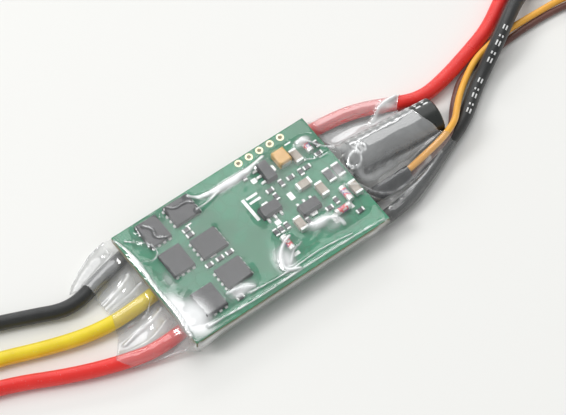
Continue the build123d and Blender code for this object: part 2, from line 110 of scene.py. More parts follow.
BATTERY_RED = [
    (20.5, 12.3, WIRE_Z), (27.5, 12.1, WIRE_Z), (34.5, 10.6, WIRE_Z), (40.5, 7.7, WIRE_Z),
    (46.3, 5.2, WIRE_Z), (53.0, 6.3, TABLE_Z), (60.0, 8.2, TABLE_Z), (67.5, 10.5, TABLE_Z),
    (74.6, 14.8, TABLE_Z), (83.0, 19.2, TABLE_Z), (94.0, 19.6, TABLE_Z), (106.0, 17.6, TABLE_Z),
    (117.5, 17.4, TABLE_Z),
]
BATTERY_BLACK = [
    (20.5, -12.3, WIRE_Z), (27.5, -12.5, WIRE_Z), (35.5, -9.8, WIRE_Z), (43.5, -6.4, WIRE_Z),
    (50.3, -3.7, TABLE_Z), (56.0, 0.4, TABLE_Z), (60.6, 3.0, 2.0), (65.0, 5.1, 3.7),
    (70.2, 8.2, 3.9), (75.6, 11.5, 3.4), (82.6, 14.6, 1.8), (92.0, 14.2, TABLE_Z),
    (103.0, 11.6, TABLE_Z), (114.0, 11.4, TABLE_Z),
]
SIGNAL_ORANGE = [
    (33.4, -7.2, 3.58), (37.4, -7.1, 5.1), (42.6, -6.2, 5.4), (46.8, -4.6, 5.3), (49.9, -1.5, 3.5),
    (53.2, 1.5, 1.85), (56.4, 3.7, 1.8), (59.9, 5.6, 2.25), (64.3, 7.1, 1.6), (70.0, 7.9, 1.55),
    (77.0, 7.7, 1.55), (84.5, 7.4, 1.5), (91.0, 6.2, 1.3), (96.5, 5.5, COIL_Z),
]
SIGNAL_BROWN = [
    (33.4, -8.1, 2.5), (37.6, -7.6, 3.8), (41.9, -6.7, 3.95), (45.2, -5.4, 3.95), (47.5, -3.0, 3.35),
    (49.6, -0.6, 1.6), (52.4, 2.0, 0.75), (55.3, 4.3, 0.7), (58.8, 5.5, 0.7), (63.0, 5.7, 0.7),
    (67.8, 6.2, 0.7), (74.5, 6.6, 0.7), (82.0, 6.4, 0.7), (89.0, 5.0, 0.8), (95.0, 4.2, COIL_Z),
]
ORANGE_TAIL = [
    (COIL_X + 5.3, COIL_Y + COIL_OUTER_R + 0.2, TAIL_Z + 0.2), (PLUG_X - 4.9, PLUG_Y + PITCH - 0.1, 2.8),
    (PLUG_X - 1.5, PLUG_Y + PITCH, PLUG_Z), (PLUG_X + 1.5, PLUG_Y + PITCH, PLUG_Z),
]
BROWN_TAIL = [
    (COIL_X + 5.3, COIL_Y + COIL_INNER_R - 0.2, TAIL_Z + 0.4), (PLUG_X - 4.9, PLUG_Y - PITCH + 0.6, 3.0),
    (PLUG_X - 1.5, PLUG_Y - PITCH, PLUG_Z), (PLUG_X + 1.5, PLUG_Y - PITCH, PLUG_Z),
]


def coil_points(radius):
    """The wound part of a signal wire: from the coil's top side, clockwise, one layer on the next."""
    count = round(COIL_TURNS * TURN_POINTS)
    # control points of a quadratic spline stand outside its circle by this share
    reach = radius / math.cos(math.pi / TURN_POINTS)
    points = []
    for i in range(count + 1):
        turns = i / TURN_POINTS
        angle = math.radians(90) - 2 * math.pi * turns
        points.append((COIL_X + reach * math.cos(angle), COIL_Y + reach * math.sin(angle),
                       COIL_Z + turns * SIGNAL_D))
    return points


def wire(name, points, diameter):
    """A wire as one smooth curve whose control points are its route, given in mm."""
    curve = bpy.data.curves.new(name, "CURVE")
    curve.dimensions = "3D"
    spline = curve.splines.new("NURBS")
    spline.points.add(len(points) - 1)
    for point, place in zip(spline.points, points):
        point.co = (*(c * MM for c in place), 1)
        point.radius = POINT_RADIUS
    spline.order_u = 3
    spline.use_endpoint_u = True
    spline.resolution_u = 10
    curve.bevel_depth = diameter / 2 * MM / POINT_RADIUS
    curve.bevel_resolution = 6
    curve.use_fill_caps = True
    obj = bpy.data.objects.new(name, curve)
    bpy.context.scene.collection.objects.link(obj)
    return obj


def line_of(curve_object):
    """The points that a wire's own spline follows, in metres."""
    bare = curve_object.data.copy()
    bare.bevel_depth = 0
    holder = bpy.data.objects.new("line", bare)
    mesh = bpy.data.meshes.new_from_object(holder)
    points = [v.co.copy() for v in mesh.vertices]
    bpy.data.meshes.remove(mesh)
    bpy.data.curves.remove(bare)
    return points


POWER = {
    "motor_wire_black": (MOTOR_BLACK, "silicone_black"),
    "motor_wire_yellow": (MOTOR_YELLOW, "silicone_yellow"),
    "motor_wire_red": (MOTOR_RED, "silicone_red"),
    "battery_wire_red": (BATTERY_RED, "silicone_red"),
    "battery_wire_black": (BATTERY_BLACK, "silicone_black"),
}
wires, lines = {}, {}
for name, (route, slot) in POWER.items():
    piece = wire(name + "_insulation", route, WIRE_D)
    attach(piece, "root")
    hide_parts(name)
    wires[name] = piece
    lines[name] = line_of(piece)
for name, route, radius, tail, extra in (
    ("signal_wire_orange", SIGNAL_ORANGE, COIL_OUTER_R, ORANGE_TAIL, ["signal_lead_coil"]),
    ("signal_wire_brown", SIGNAL_BROWN, COIL_INNER_R, BROWN_TAIL, []),
):
    piece = wire(name + "_insulation", route + coil_points(radius) + tail, SIGNAL_D)
    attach(piece, "root")
    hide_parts(name, *extra)
    wires[name] = piece
    lines[name] = line_of(piece)

# ------------------------------------------------------------------ materials
def graph(name):
    material = bpy.data.materials.new(name)
    material.use_nodes = True
    tree = material.node_tree
    return material, tree, tree.nodes["Principled BSDF"]


def add(tree, kind, values=None, **settings):
    """A shader node with its settings made and the named inputs filled or linked."""
    node = tree.nodes.new(kind)
    for key, value in settings.items():
        setattr(node, key, value)
    for key, value in (values or {}).items():
        if isinstance(value, bpy.types.NodeSocket):
            tree.links.new(value, node.inputs[key])
        else:
            node.inputs[key].default_value = value
    return node


def place(tree):
    return add(tree, "ShaderNodeTexCoord").outputs["Object"]


def grain(tree, scale, detail=3.0, rough=0.5, distortion=0.0):
    """Noise over the object's own coordinates; scale counts per metre."""
    return add(tree, "ShaderNodeTexNoise", {"Vector": place(tree), "Scale": scale, "Detail": detail,
                                            "Roughness": rough, "Distortion": distortion}).outputs["Fac"]


def ramp(tree, value, *stops):
    node = add(tree, "ShaderNodeValToRGB", {"Fac": value})
    elements = node.color_ramp.elements
    while len(elements) < len(stops):
        elements.new(0.5)
    for element, (at, colour) in zip(elements, stops):
        element.position = at
        element.color = (*colour, 1)
    return node.outputs["Color"]


def span(tree, value, low, high, out_low, out_high):
    return add(tree, "ShaderNodeMapRange", {"Value": value, "From Min": low, "From Max": high,
                                            "To Min": out_low, "To Max": out_high}).outputs["Result"]


def bumped(tree, shader, height, strength, distance):
    node = add(tree, "ShaderNodeBump", {"Height": height, "Strength": strength, "Distance": distance})
    tree.links.new(node.outputs["Normal"], shader.inputs["Normal"])


def plain(name, dark, light, rough, scale, bump=0.2, metallic=0.0, specular=0.5, coat=0.0):
    """Moulded, fired or plated stuff: two near shades, mottled gloss and fine relief."""
    material, tree, shader = graph(name)
    tree.links.new(ramp(tree, grain(tree, scale), (0.3, dark), (0.7, light)), shader.inputs["Base Color"])
    gloss = span(tree, grain(tree, scale * 2.3), 0.3, 0.7, rough - 0.07, rough + 0.07)
    tree.links.new(gloss, shader.inputs["Roughness"])
    shader.inputs["Metallic"].default_value = metallic
    shader.inputs["Specular IOR Level"].default_value = specular
    shader.inputs["Coat Weight"].default_value = coat
    bumped(tree, shader, grain(tree, scale * 6, 4), bump, 0.00005)
    return material


def make_board_material():
    """Green solder mask over copper areas and tracks on top, bare laminate on the cut sides."""
    material, tree, shader = graph("solder_mask")
    where = place(tree)
    cells = add(tree, "ShaderNodeTexVoronoi", {"Vector": where, "Scale": 330.0, "Randomness": 0.75},
                feature="DISTANCE_TO_EDGE", distance="CHEBYCHEV").outputs["Distance"]
    tracks = span(tree, cells, 0.035, 0.06, 0, 1)
    pour = span(tree, grain(tree, 130, 1), 0.46, 0.5, 0, 1)
    copper = add(tree, "ShaderNodeMath", {0: tracks, 1: pour}, operation="MULTIPLY").outputs[0]
    green = ramp(tree, copper, (0.0, (0.003, 0.185, 0.08)), (1.0, (0.005, 0.235, 0.11)))
    mottle = ramp(tree, grain(tree, 60), (0.3, (0.85, 0.85, 0.85)), (0.7, (1.1, 1.1, 1.1)))
    normal = add(tree, "ShaderNodeTexCoord").outputs["Normal"]
    upright = add(tree, "ShaderNodeSeparateXYZ", {"Vector": normal}).outputs["Z"]
    flat = add(tree, "ShaderNodeMath", {0: upright}, operation="ABSOLUTE").outputs[0]
    layers = add(tree, "ShaderNodeTexWave", {"Vector": where, "Scale": 900.0, "Distortion": 1.5},
                 bands_direction="Z").outputs["Fac"]
    side = ramp(tree, layers, (0.2, (0.16, 0.15, 0.075)), (0.8, (0.24, 0.22, 0.12)))
    cut = add(tree, "ShaderNodeMath", {0: flat, 1: 0.5}, operation="GREATER_THAN").outputs[0]
    blend = add(tree, "ShaderNodeMixRGB", {"Fac": cut, "Color1": side, "Color2": green})
    tint = add(tree, "ShaderNodeMixRGB", {"Fac": 1.0, "Color1": blend.outputs[0], "Color2": mottle},
               blend_type="MULTIPLY")
    tree.links.new(tint.outputs[0], shader.inputs["Base Color"])
    tree.links.new(span(tree, cut, 0, 1, 0.8, 0.28), shader.inputs["Roughness"])
    bumped(tree, shader, copper, 0.35, 0.00004)
    return material


def make_diode_material():
    """Small glass bodies with a coloured die and cathode band showing through."""
    material, tree, shader = graph("diode_glass")
    bands = grain(tree, 900, 1)
    colour = ramp(tree, bands, (0.38, (0.75, 0.72, 0.70)), (0.46, (0.80, 0.08, 0.10)),
                  (0.54, (0.75, 0.10, 0.10)), (0.62, (0.10, 0.13, 0.45)), (0.70, (0.70, 0.62, 0.60)))
    tree.links.new(colour, shader.inputs["Base Color"])
    tree.links.new(span(tree, grain(tree, 2000), 0.3, 0.7, 0.08, 0.2), shader.inputs["Roughness"])
    shader.inputs["Coat Weight"].default_value = 0.6
    return material


def make_insulation(name, dark, light, rough=0.42, dust=(0.6, 0.6, 0.6)):
    """Soft wire cover: faint streaks, a dusting that takes light, slight dents along its length."""
    material, tree, shader = graph(name)
    colour = ramp(tree, grain(tree, 220, 4), (0.25, dark), (0.75, light))
    specks = span(tree, grain(tree, 3800, 2), 0.68, 0.74, 0, 0.35)
    dusty = add(tree, "ShaderNodeMixRGB", {"Fac": specks, "Color1": colour, "Color2": (*dust, 1)})
    tree.links.new(dusty.outputs[0], shader.inputs["Base Color"])
    gloss = span(tree, grain(tree, 500), 0.3, 0.7, rough - 0.08, rough + 0.1)
    tree.links.new(gloss, shader.inputs["Roughness"])
    shader.inputs["Sheen Weight"].default_value = 0.15
    dents = add(tree, "ShaderNodeMath", {0: grain(tree, 260), 1: grain(tree, 5200)}, operation="ADD")
    bumped(tree, shader, dents.outputs[0], 0.35, 0.00012)
    return material


def make_film_material():
    """Clear shrink film: clean gloss and a milky veil that is thicker in patches and on creases; the veil
    also carries painted highlights on creases, along the near edge and in sheen patches, and painted
    lightening between the wires.
    """
    material, tree, shader = graph("clear_film")
    haze_and_painted_light = add(tree, "ShaderNodeAttribute", attribute_name="haze_and_painted_light").outputs["Fac"]
    skin = span(tree, haze_and_painted_light, 0.0, 0.02, 0, 1)      # only the outer face of the wall shows milk, painted light and gloss
    patches = span(tree, grain(tree, 170, 3, 0.6, 0.6), 0.35, 0.7, -0.04, 0.06)
    milky_and_painted_light = add(tree, "ShaderNodeMath", {0: haze_and_painted_light, 1: patches}, operation="ADD", use_clamp=True).outputs[0]
    veil_and_painted_light = add(tree, "ShaderNodeMath", {0: milky_and_painted_light, 1: skin}, operation="MULTIPLY").outputs[0]
    fine = grain(tree, 1400, 3, 0.6)
    relief = add(tree, "ShaderNodeBump", {"Height": fine, "Strength": 0.25, "Distance": 0.00004})
    bump = relief.outputs["Normal"]
    clear = add(tree, "ShaderNodeBsdfTransparent")
    gloss = add(tree, "ShaderNodeBsdfGlossy", {"Roughness": 0.07, "Normal": bump})
    slant = add(tree, "ShaderNodeLayerWeight", {"Blend": 0.5, "Normal": bump}).outputs["Facing"]
    steep = add(tree, "ShaderNodeMath", {0: slant, 1: 4.5}, operation="POWER").outputs[0]
    # more gloss where the attribute is high, so the painted highlights and sheen patches also reflect the
    # lamps
    polish = span(tree, haze_and_painted_light, 0.1, 0.9, 0.078, 0.80)
    glance = add(tree, "ShaderNodeMath", {0: steep, 1: polish}, operation="MAXIMUM").outputs[0]
    share = add(tree, "ShaderNodeMath", {0: glance, 1: skin}, operation="MULTIPLY").outputs[0]
    glassy = add(tree, "ShaderNodeMixShader", {0: share, 1: clear.outputs[0], 2: gloss.outputs[0]})
    back = add(tree, "ShaderNodeBsdfDiffuse", {"Color": (0.97, 0.98, 0.975, 1), "Normal": bump})
    through = add(tree, "ShaderNodeBsdfTranslucent", {"Color": (0.97, 0.98, 0.975, 1)})
    soft = span(tree, haze_and_painted_light, 0.15, 0.5, 0.5, 0.0)
    milk_and_painted_light = add(tree, "ShaderNodeMixShader", {0: soft, 1: back.outputs[0], 2: through.outputs[0]})
    whole = add(tree, "ShaderNodeMixShader", {0: veil_and_painted_light, 1: glassy.outputs[0], 2: milk_and_painted_light.outputs[0]})
    tree.links.new(whole.outputs[0], tree.nodes["Material Output"].inputs["Surface"])
    tree.nodes.remove(shader)
    return material


materials = {
    "solder_mask": make_board_material(),
    "tinned_copper": plain("tinned_copper", (0.78, 0.78, 0.76), (0.92, 0.92, 0.90), 0.38, 900, 0.5, 0.6),
    "gold_pad": plain("gold_pad", (0.80, 0.68, 0.42), (0.93, 0.84, 0.60), 0.30, 900, 0.3, 0.8),
    "chip_black": plain("chip_black", (0.034, 0.034, 0.036), (0.050, 0.050, 0.053), 0.55, 700, 0.5),
    "tantalum_case": plain("tantalum_case", (0.72, 0.42, 0.13), (0.84, 0.52, 0.19), 0.45, 500, 0.3),
    "ceramic_body": plain("ceramic_body", (0.36, 0.30, 0.24), (0.50, 0.44, 0.37), 0.5, 700, 0.4),
    "resistor_body": plain("resistor_body", (0.03, 0.03, 0.032), (0.07, 0.07, 0.075), 0.35, 900, 0.3,
                           coat=0.3),
    "diode_glass": make_diode_material(),
    "capacitor_jacket": plain("capacitor_jacket", (0.012, 0.014, 0.012), (0.022, 0.025, 0.022), 0.3, 300,
                              0.3),
    "capacitor_aluminium": plain("capacitor_aluminium", (0.70, 0.70, 0.71), (0.84, 0.84, 0.85), 0.3, 400,
                                 0.3, 0.9),
    "stopper_rubber": plain("stopper_rubber", (0.02, 0.02, 0.02), (0.035, 0.035, 0.035), 0.7, 600, 0.5),
    "silicone_black": make_insulation("silicone_black", (0.012, 0.013, 0.013), (0.024, 0.025, 0.024), 0.38,
                                      (0.12, 0.12, 0.12)),
    "silicone_yellow": make_insulation("silicone_yellow", (0.80, 0.60, 0.012), (0.92, 0.74, 0.022), 0.36),
    "silicone_red": make_insulation("silicone_red", (0.76, 0.016, 0.012), (0.88, 0.030, 0.022), 0.34),
    "signal_orange": make_insulation("signal_orange", (0.86, 0.40, 0.035), (0.95, 0.48, 0.055), 0.35),
    "signal_brown": make_insulation("signal_brown", (0.10, 0.035, 0.025), (0.17, 0.062, 0.045), 0.35),
    "lead_coil": make_insulation("lead_coil", (0.55, 0.25, 0.05), (0.66, 0.32, 0.07), 0.35),
    "sleeve_dark": plain("sleeve_dark", (0.02, 0.02, 0.022), (0.05, 0.05, 0.052), 0.4, 500, 0.4),
    "plug_plastic": plain("plug_plastic", (0.014, 0.014, 0.015), (0.03, 0.03, 0.032), 0.4, 800, 0.4),
    "clear_film": make_film_material(),
    "print_white": plain("print_white", (0.74, 0.74, 0.73), (0.86, 0.86, 0.85), 0.5, 1500, 0.2),
}
slot_of = {part["node"]: part["material_slot"] for part in frame["record"]["subparts"]}
for name, node in nodes.items():
    node.data.materials.clear()
    node.data.materials.append(materials[slot_of[name]])
for name, piece in wires.items():
    piece.data.materials.append(materials[slot_of[name]])


# ------------------------------------------------------------------ clear heat-shrink film
# all in mm
ALONG, ACROSS, UNDER = 240, 112, 36         # grid over the film, and its strips underneath
BASE, TUCK, WALL = 0.14, 2.2, 0.11          # the film's underside, how far in it rises at the sides, its wall
GATHER = 0.07                               # how much the grid's points crowd towards the long sides
ABOVE_ALL = 30.0                            # higher than anything in the film
LIFT, LEAST_LIFT, LOWEST = 0.12, 0.06, 0.3  # over what it lies on before and after smoothing; over the table
ROUNDS, PULL_ACROSS, PULL_ALONG = 900, 0.62, 0.38    # relaxation: its steps, and where the film is tighter
SAG_ON_BOARD, SAG_AT_ENDS, SAG_AT_SIDES = 0.0008, 0.014, 0.012    # fall in each step
DROOP, DROOP_Y, DROOP_WIDTH = 0.04, 8.2, 1.5         # further fall beside the capacitor
COVERED = 0.5                               # what is taller than this touches the film
VEIL, CREASE_HIGHLIGHT, EDGE_HIGHLIGHT, SHEEN_PATCH_GAIN = 0.05, 0.95, 0.36, 3.0    # milkiness of the film, and painted highlights on creases, along the near edge and in sheen patches
WIRE_VEIL, MOTOR_GAP_LIGHTENING, BATTERY_GAP_LIGHTENING = 0.24, 0.26, 0.50      # milkiness over wires, and painted lightening of the shaded floor seen between them
LEAST_VEIL, MOST_VEIL = 0.03, 0.92
FRONT_STRIPS = 3                            # strips in front of a wire that are as clear as the film on it
# outline seen from above: the two long sides by X, and the two mouths by share of the width
NEAR_SIDE = [(-37.5, -9.1), (-34.5, -9.9), (-31.7, -10.8), (-28.0, -11.9), (-24.6, -13.0), (-22.5, -14.7),
             (20.0, -14.7), (25.0, -14.3), (31.5, -13.1), (37.5, -10.8), (41.0, -9.2), (46.0, -7.0)]
FAR_SIDE = [(-37.5, 9.8), (-35.6, 10.6), (-34.2, 12.0), (-31.3, 13.7), (-27.8, 15.3), (-24.0, 15.9),
            (-22.0, 14.8), (20.0, 14.7), (24.0, 14.3), (31.0, 13.2), (37.5, 11.0), (41.0, 9.4), (44.0, 7.9)]
MOTOR_MOUTH = [(0.0, -34.6), (0.05, -36.2), (0.10, -36.9), (0.20, -35.6), (0.35, -33.2), (0.56, -31.7),
               (0.75, -31.9), (0.86, -32.5), (0.95, -34.2), (1.0, -35.6)]
BATTERY_MOUTH = [(0.0, 45.3), (0.07, 44.4), (0.14, 43.6), (0.30, 42.2), (0.42, 41.0), (0.60, 40.3),
                 (0.80, 40.5), (0.92, 42.0), (1.0, 43.3)]
# creases that stand up from the film: points, height and half-width, mm
CREASES = [
    ([(-23.0, 13.5), (-22.0, 9.5), (-21.9, 5.0), (-22.6, 0.0), (-22.1, -6.0), (-23.0, -12.5)], 0.40, 0.30),
    ([(-21.5, 12.0), (-18.5, 9.0), (-17.5, 6.0), (-19.5, 4.6), (-21.3, 6.2)], 0.30, 0.28),
    ([(-17.0, 12.2), (-15.5, 10.6), (-16.6, 8.8), (-14.6, 7.6)], 0.26, 0.25),
    ([(-10.8, 13.0), (-9.5, 11.6), (-7.4, 12.0), (-6.0, 10.9)], 0.26, 0.25),
    ([(-6.0, 12.4), (-3.5, 11.0), (3.0, 10.7), (8.0, 10.7), (11.0, 11.4)], 0.45, 0.80),
    ([(-6.5, 9.0), (-3.6, 9.4), (0.0, 10.4)], 0.32, 0.40),
    ([(-19.0, -12.6), (-8.0, -13.4), (4.0, -13.2), (16.0, -13.5), (22.0, -13.9)], 0.26, 0.45),
    ([(-8.5, -11.6), (0.0, -12.3), (8.0, -11.8), (15.0, -12.8)], 0.34, 0.32),
    ([(4.4, -6.6), (1.6, -7.6), (0.2, -9.6), (-0.2, -11.8), (2.4, -13.0)], 0.60, 0.50),
    ([(5.8, -8.8), (3.2, -9.4), (1.8, -10.8)], 0.30, 0.35),
    ([(8.6, -6.8), (11.0, -7.7), (13.0, -7.6), (14.8, -8.8), (15.0, -10.4)], 0.45, 0.45),
    ([(-12.5, -9.4), (-9.5, -9.8), (-7.0, -11.0)], 0.38, 0.45),
    ([(18.4, 9.8), (20.4, 8.4), (21.6, 6.4), (24.0, 5.2)], 0.50, 0.40),
    ([(17.0, 5.4), (20.0, 4.2), (22.6, 4.4)], 0.30, 0.30),
    ([(20.0, -3.6), (22.5, -5.2), (25.0, -8.0), (30.0, -9.6), (38.0, -8.0)], 0.18, 0.50),
    ([(21.0, -6.6), (26.0, -10.4), (33.0, -10.8), (41.0, -7.8)], 0.16, 0.50),
    ([(26.0, -3.4), (33.0, -4.6), (41.0, -5.2)], 0.10, 0.40),
    ([(35.5, 7.4), (38.5, 7.9), (41.6, 7.9)], 0.90, 0.50),
    ([(-24.0, 12.5), (-28.0, 12.0), (-32.0, 10.6)], 0.22, 0.25),
    ([(-24.5, 6.5), (-28.5, 5.8), (-32.0, 4.8)], 0.35, 0.35),
    ([(-23.8, 3.2), (-27.0, 3.6), (-31.0, 3.0)], 0.30, 0.28),
    ([(-24.0, -3.6), (-28.5, -3.4), (-33.0, -4.4)], 0.35, 0.35),
    ([(-24.6, -6.0), (-29.0, -6.6), (-35.0, -6.0)], 0.28, 0.28),
    ([(-24.0, -0.6), (-26.6, -2.4), (-30.8, -1.8)], 0.22, 0.25),
]
# bubbles: centre, radius, height and half-width, mm
RINGS = [((24.7, -0.8), 1.3, 0.40, 0.20), ((26.9, 0.2), 0.95, 0.22, 0.18)]
# painted sheen patches: centre, reach along X and Y, added veil
SHEEN_PATCHES = [
    ((-20.2, -9.6), (2.5, 3.6), 0.34), ((-21.4, -4.4), (1.2, 2.4), 0.14), ((-19.6, -0.2), (0.9, 1.9), 0.10),
    ((-22.3, 3.0), (0.5, 8.0), 0.10), ((-9.4, -10.3), (3.0, 1.0), 0.20), ((0.9, -9.8), (1.8, 2.4), 0.24),
    ((11.2, -7.4), (2.2, 0.9), 0.26), ((13.6, -9.4), (2.4, 1.0), 0.10), ((19.4, 9.4), (1.6, 0.9), 0.24),
    ((3.6, 10.6), (4.8, 0.9), 0.26), ((20.6, -1.0), (1.2, 2.2), 0.06), ((39.8, 7.8), (2.2, 0.9), 0.16),
    ((33.0, 4.9), (9.0, 1.2), -0.04), ((-28.5, 5.4), (3.5, 1.6), 0.07), ((-28.5, -4.4), (4.0, 1.8), 0.07),
]


def past_board(x, start):
    """0 over the board, and rising to 1 in the 3 mm beyond start."""
    return np.clip(np.abs(x) - start, 0, 3) / 3


def along_line(table, values):
    xs, ys = zip(*table)
    return np.interp(values, xs, ys)


def contents_tree():
    """Everything that the film lies on, as one surface."""
    points, faces = [], []
    for name, obj in list(nodes.items()) + list(wires.items()):
        if name == "heat_shrink_sleeve" or name in wires and obj.type == "MESH":
            continue
        mesh = obj.data if obj.type == "MESH" else bpy.data.meshes.new_from_object(obj)
        start = len(points)
        points += [v.co.copy() for v in mesh.vertices]
        faces += [[start + i for i in p.vertices] for p in mesh.polygons]
    return BVHTree.FromPolygons(points, faces)


def fold_height(x):
    """Height in mm where the film turns under: the board's lower edge, or the wires' middle."""
    return np.interp(np.abs(x), [17, 22.5, 30, 46], [3.2, 2.2, 1.3, 0.9])


def distance_to(line, x, y):
    """Distance of each grid point to a run of straight pieces, all in mm."""
    best = np.full(x.shape, 1e9)
    for (ax, ay), (bx, by) in zip(line, line[1:]):
        dx, dy = bx - ax, by - ay
        t = np.clip(((x - ax) * dx + (y - ay) * dy) / (dx * dx + dy * dy), 0, 1)
        best = np.minimum(best, np.hypot(x - ax - t * dx, y - ay - t * dy))
    return best


def smooth_line(line, rounds=3):
    """Corners cut off, so that a crease bends softly."""
    for _ in range(rounds):
        cut = [line[0]]
        for (ax, ay), (bx, by) in zip(line, line[1:]):
            cut.append((0.75 * ax + 0.25 * bx, 0.75 * ay + 0.25 * by))
            cut.append((0.25 * ax + 0.75 * bx, 0.25 * ay + 0.75 * by))
        line = cut + [line[-1]]
    return line


def neighbours(field):
    """The mean of the four neighbours of each grid point."""
    pad = np.pad(field, 1, mode="edge")
    return (pad[:-2, 1:-1] + pad[2:, 1:-1] + pad[1:-1, :-2] + pad[1:-1, 2:]) / 4


def softened(field, rounds=3):
    for _ in range(rounds):
        field = neighbours(field)
    return field


def highest_under(x, y):
    """Height of what lies under each grid point, 0 where nothing does."""
    tree = contents_tree()
    held = np.zeros(x.shape)
    for i in range(ALONG):
        for j in range(ACROSS):
            start = Vector((x[i, j] * MM, y[i, j] * MM, ABOVE_ALL * MM))
            hit = tree.ray_cast(start, Vector((0, 0, -1)))[0]
            held[i, j] = hit.z if hit else 0.0
    return held / MM


def stretched(x, y, held):
    """The film pulled over what it holds. It sags in between."""
    floor = np.maximum(held + LIFT, LOWEST)
    edge = fold_height(x)
    floor[:, 0], floor[:, -1] = edge[:, 0], edge[:, -1]
    sag = SAG_ON_BOARD + SAG_AT_ENDS * past_board(x, 23.5) + SAG_AT_SIDES * np.clip(np.abs(y) - 10.6, 0, 1)
    sag = sag + DROOP * np.exp(-((y - DROOP_Y) / DROOP_WIDTH) ** 2) * np.clip((x - 24) / 2, 0, 1)
    z = floor.copy()
    for _ in range(ROUNDS):
        pad = np.pad(z, ((1, 1), (0, 0)), mode="edge")
        wide = z.copy()
        wide[:, 1:-1] = (z[:, :-2] + z[:, 2:]) / 2
        long = (pad[:-2] + pad[2:]) / 2
        z = np.maximum(floor, PULL_ACROSS * wide + PULL_ALONG * long - sag)
        z[:, 0], z[:, -1] = edge[:, 0], edge[:, -1]
    for _ in range(2):
        z[:, 1:-1] = np.maximum(held + LEAST_LIFT, 0.5 * z + 0.5 * neighbours(z))[:, 1:-1]
    return z


def ridges(x, y):
    """Height of the creases and bubbles, and where they catch the light, 0 to 1."""
    crease, shine = np.zeros(x.shape), np.zeros(x.shape)
    # shine is a painted highlight along each crease and bubble ring, which the veil turns white
    for line, height, width in CREASES:
        away = distance_to(smooth_line(line), x, y)
        crease = np.maximum(crease, height * np.exp(-(away / width) ** 2))
        shine = np.maximum(shine, min(1, height / 0.5) * np.exp(-(away / (0.5 * width)) ** 2))
    for (cx, cy), radius, height, width in RINGS:
        away = np.abs(np.hypot(x - cx, y - cy) - radius)
        crease = np.maximum(crease, height * np.exp(-(away / width) ** 2))
        shine = np.maximum(shine, np.exp(-(away / (0.7 * width)) ** 2))
    return crease, shine


def film_height(x, y):
    """The film's top, where its creases shine, and where it touches something."""
    held = highest_under(x, y)
    z = stretched(x, y, held)
    crease, shine = ridges(x, y)
    ends = past_board(x, 23.5)
    rim = np.minimum(np.arange(ACROSS), np.arange(ACROSS)[::-1]) / 5.0
    free = np.clip(rim, 0, 1)[None, :]      # the turned-in sides stay smooth
    ruck = np.zeros(x.shape)
    for i in range(ALONG):
        for j in range(ACROSS):
            px, py = x[i, j], y[i, j]
            warp = noise.noise(Vector((px * 0.10, py * 0.10, 7.0)))
            long_rucks = noise.noise(Vector((px * 0.16 + warp, py * 0.85 + 2.2 * warp, 3.1)))
            small = noise.noise(Vector((px * 0.55, py * 0.9 + warp, 9.4)))
            loose = 0.12 if ends[i, j] > 0.3 else 0.05
            shine[i, j] *= 0.45 + 0.9 * abs(small) + 0.35 * long_rucks
            ruck[i, j] = loose * abs(long_rucks) ** 1.3 + 0.05 * small
    top = z + free * (crease + np.maximum(ruck, -0.04))
    return top, np.clip(shine, 0, 1), softened((held > COVERED) * 1.0)


def film_veil_and_painted_light(x, y, near, shine, covers):
    """The film's veil and painted light, 0 clear to 1 white: a thin veil on the board and milkier over wires,
    painted highlights on creases and along the near edge, painted sheen patches, and painted lightening
    between the wires.
    """
    ends = past_board(x, 22.5)
    # painted highlight: a thin white line where the film folds over the board's near edge
    near_edge_highlight = np.exp(-((y - near - 0.27) / 0.15) ** 2) * (np.abs(x) < 23.2)
    red_side = np.clip((3.5 - y) / 1.5, 0, 1) * (x < 0)
    black_side = np.clip((y - 10.0) / 1.5, 0, 1) * (x < 0)
    signal_side = np.clip((-4.0 - y) / 2, 0, 1) * (x > 0)
    on_wires = WIRE_VEIL - 0.17 * signal_side - 0.08 * black_side - 0.13 * red_side
    # a thin veil, milkier over wires, plus painted highlights along the creases' shine and the near edge
    haze_and_painted_light = VEIL + ends * covers * on_wires + CREASE_HIGHLIGHT * shine + EDGE_HIGHLIGHT * near_edge_highlight
    # painted lightening: a white veil beyond the board where no wire lies under the film, over the shade on
    # the floor there
    apart = 1 - np.maximum(covers, np.roll(covers, -FRONT_STRIPS, axis=1))
    gap_lightening = np.where(x < 0, MOTOR_GAP_LIGHTENING, BATTERY_GAP_LIGHTENING)
    haze_and_painted_light = haze_and_painted_light + ends * apart * (1 - signal_side) * gap_lightening
    # painted sheen: white patches where the film's wrinkles would reflect the lamps; a negative one clears
    # the film
    for (cx, cy), (rx, ry), more in SHEEN_PATCHES:
        haze_and_painted_light = haze_and_painted_light + SHEEN_PATCH_GAIN * more * np.exp(-((x - cx) / rx) ** 2 - ((y - cy) / ry) ** 2)
    return np.clip(haze_and_painted_light, LEAST_VEIL, MOST_VEIL)


